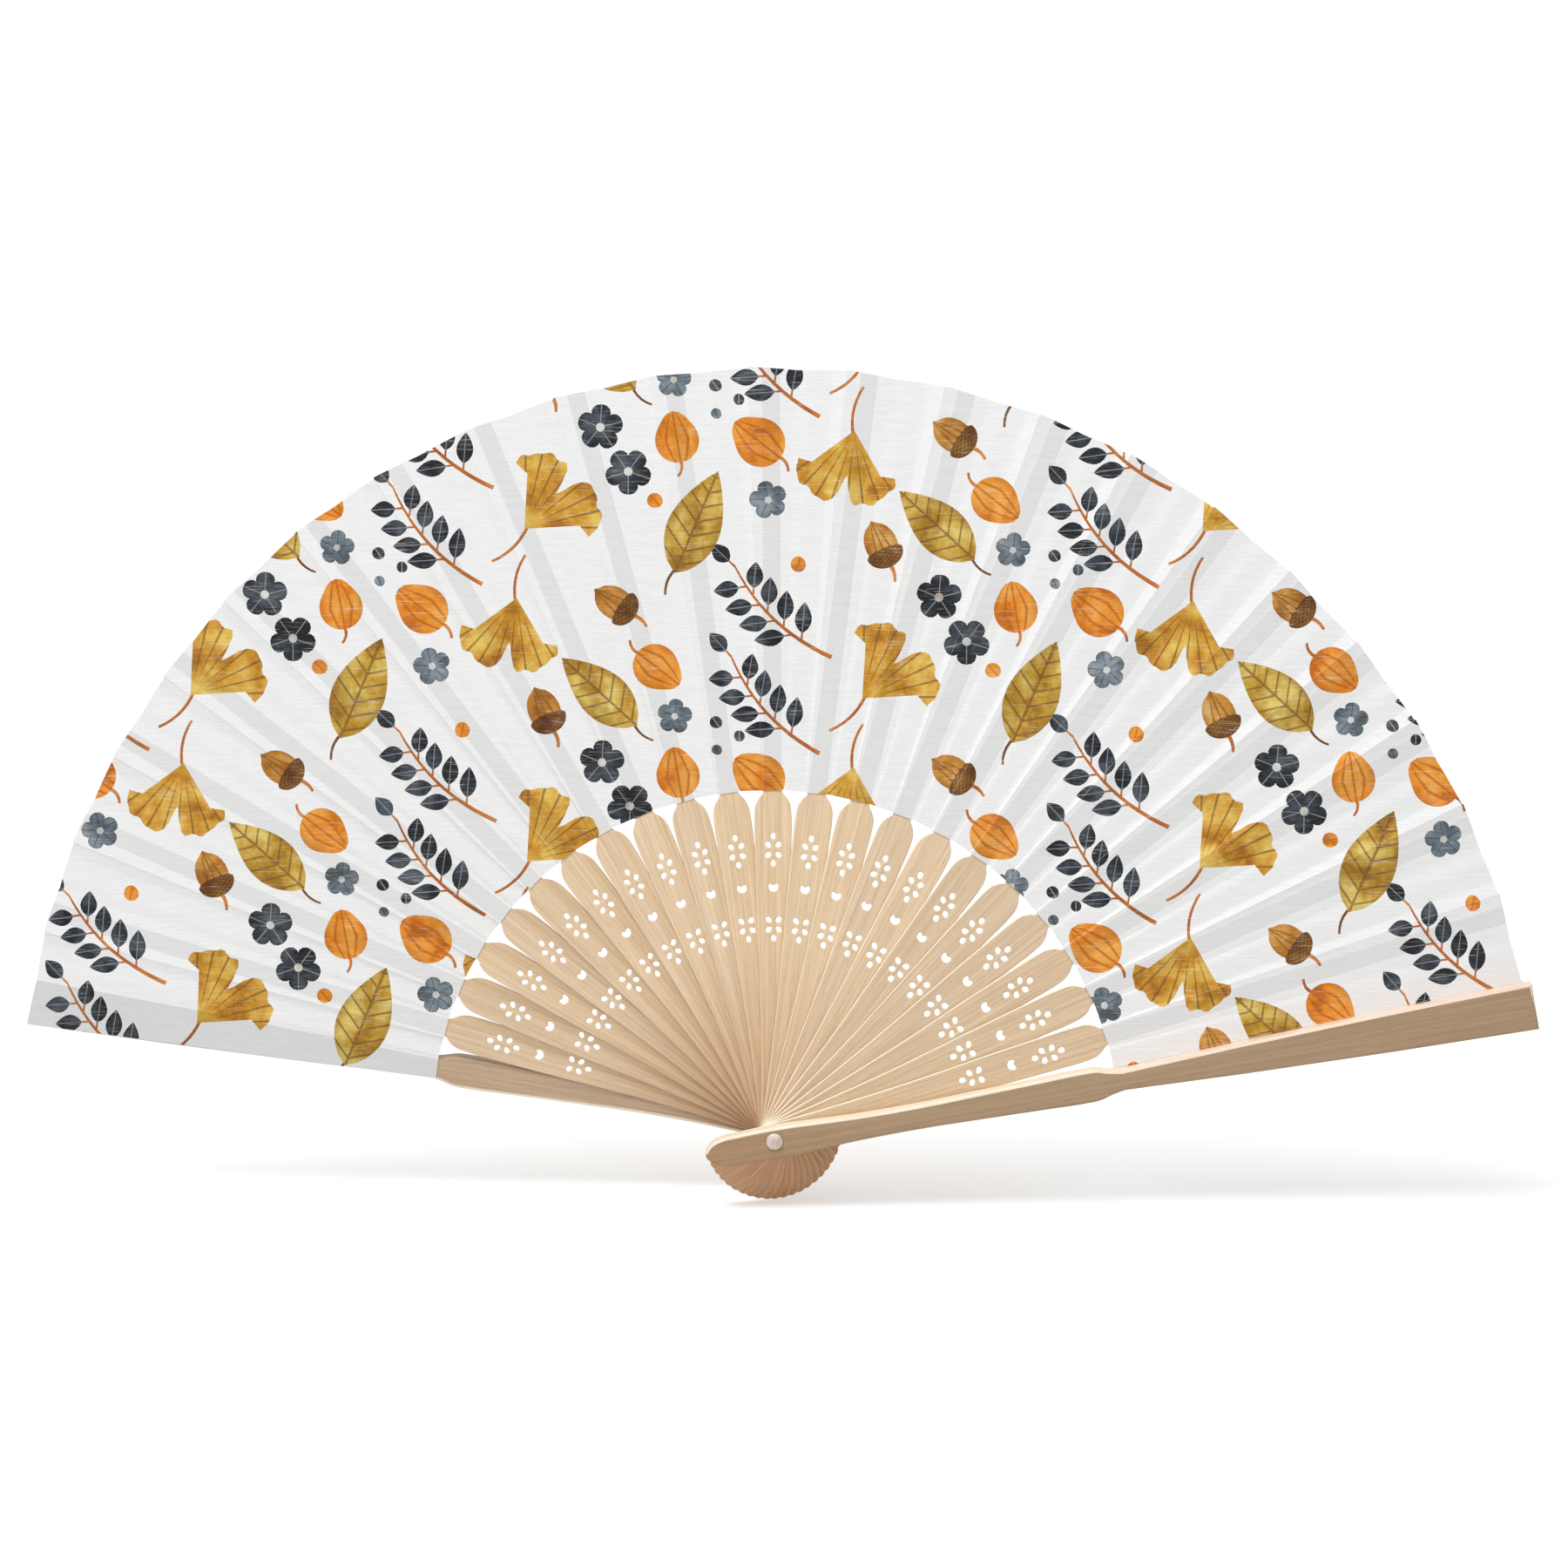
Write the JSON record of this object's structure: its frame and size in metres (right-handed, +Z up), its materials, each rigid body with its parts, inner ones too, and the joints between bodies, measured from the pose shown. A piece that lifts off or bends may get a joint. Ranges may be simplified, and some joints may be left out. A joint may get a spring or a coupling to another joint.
{
  "type": "folding fan",
  "caption": "Folding hand fan: pierced bamboo sticks and thick outer guards turn on a rivet and spread a pleated, printed cloth leaf.",
  "frame": {"origin": "on the rivet's axis, in the middle of the stack of ribs", "axes": "Y along the rivet, with the fan's front facing -Y; +Z up through the middle of the open leaf; +X to the right seen from the front"},
  "size_m": [0.4162, 0.0324, 0.2286],
  "materials": {
    "bamboo": "satin",
    "guard_bamboo": "satin",
    "leaf_cloth": "matt woven cloth, printed",
    "rivet_plastic": "pearly gloss"
  },
  "bodies": {
    "rear_guard": {"rear_guard": "guard_bamboo", "rivet": "rivet_plastic", "leaf_pleat_22": "leaf_cloth"},
    "stick_21": {"stick_21": "bamboo", "leaf_pleat_21": "leaf_cloth"},
    "stick_20": {"stick_20": "bamboo", "leaf_pleat_20": "leaf_cloth"},
    "stick_19": {"stick_19": "bamboo", "leaf_pleat_19": "leaf_cloth"},
    "stick_18": {"stick_18": "bamboo", "leaf_pleat_18": "leaf_cloth"},
    "stick_17": {"stick_17": "bamboo", "leaf_pleat_17": "leaf_cloth"},
    "stick_16": {"stick_16": "bamboo", "leaf_pleat_16": "leaf_cloth"},
    "stick_15": {"stick_15": "bamboo", "leaf_pleat_15": "leaf_cloth"},
    "stick_14": {"stick_14": "bamboo", "leaf_pleat_14": "leaf_cloth"},
    "stick_13": {"stick_13": "bamboo", "leaf_pleat_13": "leaf_cloth"},
    "stick_12": {"stick_12": "bamboo", "leaf_pleat_12": "leaf_cloth"},
    "stick_11": {"stick_11": "bamboo", "leaf_pleat_11": "leaf_cloth"},
    "stick_10": {"stick_10": "bamboo", "leaf_pleat_10": "leaf_cloth"},
    "stick_09": {"stick_09": "bamboo", "leaf_pleat_09": "leaf_cloth"},
    "stick_08": {"stick_08": "bamboo", "leaf_pleat_08": "leaf_cloth"},
    "stick_07": {"stick_07": "bamboo", "leaf_pleat_07": "leaf_cloth"},
    "stick_06": {"stick_06": "bamboo", "leaf_pleat_06": "leaf_cloth"},
    "stick_05": {"stick_05": "bamboo", "leaf_pleat_05": "leaf_cloth"},
    "stick_04": {"stick_04": "bamboo", "leaf_pleat_04": "leaf_cloth"},
    "stick_03": {"stick_03": "bamboo", "leaf_pleat_03": "leaf_cloth"},
    "stick_02": {"stick_02": "bamboo", "leaf_pleat_02": "leaf_cloth"},
    "stick_01": {"stick_01": "bamboo", "leaf_pleat_01": "leaf_cloth"},
    "front_guard": {"front_guard": "guard_bamboo", "leaf_end_strip": "leaf_cloth"}
  },
  "joints": [
    {"name": "stick_21_turn", "type": "hinge", "parent": "rear_guard", "child": "stick_21", "pos_m": [0, 0, 0], "axis": [0, -1, 0], "range_deg": [0, 7.3], "deforming": ["leaf_pleat_22"]},
    {"name": "stick_20_turn", "type": "hinge", "parent": "stick_21", "child": "stick_20", "pos_m": [0, 0, 0], "axis": [0, -1, 0], "range_deg": [0, 7.3], "deforming": ["leaf_pleat_21"]},
    {"name": "stick_19_turn", "type": "hinge", "parent": "stick_20", "child": "stick_19", "pos_m": [0, 0, 0], "axis": [0, -1, 0], "range_deg": [0, 7.3], "deforming": ["leaf_pleat_20"]},
    {"name": "stick_18_turn", "type": "hinge", "parent": "stick_19", "child": "stick_18", "pos_m": [0, 0, 0], "axis": [0, -1, 0], "range_deg": [0, 7.3], "deforming": ["leaf_pleat_19"]},
    {"name": "stick_17_turn", "type": "hinge", "parent": "stick_18", "child": "stick_17", "pos_m": [0, 0, 0], "axis": [0, -1, 0], "range_deg": [0, 7.3], "deforming": ["leaf_pleat_18"]},
    {"name": "stick_16_turn", "type": "hinge", "parent": "stick_17", "child": "stick_16", "pos_m": [0, 0, 0], "axis": [0, -1, 0], "range_deg": [0, 7.3], "deforming": ["leaf_pleat_17"]},
    {"name": "stick_15_turn", "type": "hinge", "parent": "stick_16", "child": "stick_15", "pos_m": [0, 0, 0], "axis": [0, -1, 0], "range_deg": [0, 7.3], "deforming": ["leaf_pleat_16"]},
    {"name": "stick_14_turn", "type": "hinge", "parent": "stick_15", "child": "stick_14", "pos_m": [0, 0, 0], "axis": [0, -1, 0], "range_deg": [0, 7.3], "deforming": ["leaf_pleat_15"]},
    {"name": "stick_13_turn", "type": "hinge", "parent": "stick_14", "child": "stick_13", "pos_m": [0, 0, 0], "axis": [0, -1, 0], "range_deg": [0, 7.3], "deforming": ["leaf_pleat_14"]},
    {"name": "stick_12_turn", "type": "hinge", "parent": "stick_13", "child": "stick_12", "pos_m": [0, 0, 0], "axis": [0, -1, 0], "range_deg": [0, 7.3], "deforming": ["leaf_pleat_13"]},
    {"name": "stick_11_turn", "type": "hinge", "parent": "stick_12", "child": "stick_11", "pos_m": [0, 0, 0], "axis": [0, -1, 0], "range_deg": [0, 7.3], "deforming": ["leaf_pleat_12"]},
    {"name": "stick_10_turn", "type": "hinge", "parent": "stick_11", "child": "stick_10", "pos_m": [0, 0, 0], "axis": [0, -1, 0], "range_deg": [0, 7.3], "deforming": ["leaf_pleat_11"]},
    {"name": "stick_09_turn", "type": "hinge", "parent": "stick_10", "child": "stick_09", "pos_m": [0, 0, 0], "axis": [0, -1, 0], "range_deg": [0, 7.3], "deforming": ["leaf_pleat_10"]},
    {"name": "stick_08_turn", "type": "hinge", "parent": "stick_09", "child": "stick_08", "pos_m": [0, 0, 0], "axis": [0, -1, 0], "range_deg": [0, 7.3], "deforming": ["leaf_pleat_09"]},
    {"name": "stick_07_turn", "type": "hinge", "parent": "stick_08", "child": "stick_07", "pos_m": [0, 0, 0], "axis": [0, -1, 0], "range_deg": [0, 7.3], "deforming": ["leaf_pleat_08"]},
    {"name": "stick_06_turn", "type": "hinge", "parent": "stick_07", "child": "stick_06", "pos_m": [0, 0, 0], "axis": [0, -1, 0], "range_deg": [0, 7.3], "deforming": ["leaf_pleat_07"]},
    {"name": "stick_05_turn", "type": "hinge", "parent": "stick_06", "child": "stick_05", "pos_m": [0, 0, 0], "axis": [0, -1, 0], "range_deg": [0, 7.3], "deforming": ["leaf_pleat_06"]},
    {"name": "stick_04_turn", "type": "hinge", "parent": "stick_05", "child": "stick_04", "pos_m": [0, 0, 0], "axis": [0, -1, 0], "range_deg": [0, 7.3], "deforming": ["leaf_pleat_05"]},
    {"name": "stick_03_turn", "type": "hinge", "parent": "stick_04", "child": "stick_03", "pos_m": [0, 0, 0], "axis": [0, -1, 0], "range_deg": [0, 7.3], "deforming": ["leaf_pleat_04"]},
    {"name": "stick_02_turn", "type": "hinge", "parent": "stick_03", "child": "stick_02", "pos_m": [0, 0, 0], "axis": [0, -1, 0], "range_deg": [0, 7.3], "deforming": ["leaf_pleat_03"]},
    {"name": "stick_01_turn", "type": "hinge", "parent": "stick_02", "child": "stick_01", "pos_m": [0, 0, 0], "axis": [0, -1, 0], "range_deg": [0, 7.3], "deforming": ["leaf_pleat_02"]},
    {"name": "front_guard_turn", "type": "hinge", "parent": "stick_01", "child": "front_guard", "pos_m": [0, 0, 0], "axis": [0, -1, 0], "range_deg": [0, 6.85], "deforming": ["leaf_pleat_01"]}
  ],
  "couplings": [
    {"joint": "stick_20_turn", "follows": "stick_21_turn", "ratio": 1},
    {"joint": "stick_19_turn", "follows": "stick_21_turn", "ratio": 1},
    {"joint": "stick_18_turn", "follows": "stick_21_turn", "ratio": 1},
    {"joint": "stick_17_turn", "follows": "stick_21_turn", "ratio": 1},
    {"joint": "stick_16_turn", "follows": "stick_21_turn", "ratio": 1},
    {"joint": "stick_15_turn", "follows": "stick_21_turn", "ratio": 1},
    {"joint": "stick_14_turn", "follows": "stick_21_turn", "ratio": 1},
    {"joint": "stick_13_turn", "follows": "stick_21_turn", "ratio": 1},
    {"joint": "stick_12_turn", "follows": "stick_21_turn", "ratio": 1},
    {"joint": "stick_11_turn", "follows": "stick_21_turn", "ratio": 1},
    {"joint": "stick_10_turn", "follows": "stick_21_turn", "ratio": 1},
    {"joint": "stick_09_turn", "follows": "stick_21_turn", "ratio": 1},
    {"joint": "stick_08_turn", "follows": "stick_21_turn", "ratio": 1},
    {"joint": "stick_07_turn", "follows": "stick_21_turn", "ratio": 1},
    {"joint": "stick_06_turn", "follows": "stick_21_turn", "ratio": 1},
    {"joint": "stick_05_turn", "follows": "stick_21_turn", "ratio": 1},
    {"joint": "stick_04_turn", "follows": "stick_21_turn", "ratio": 1},
    {"joint": "stick_03_turn", "follows": "stick_21_turn", "ratio": 1},
    {"joint": "stick_02_turn", "follows": "stick_21_turn", "ratio": 1},
    {"joint": "stick_01_turn", "follows": "stick_21_turn", "ratio": 1},
    {"joint": "front_guard_turn", "follows": "stick_21_turn", "ratio": 0.93835}
  ]
}
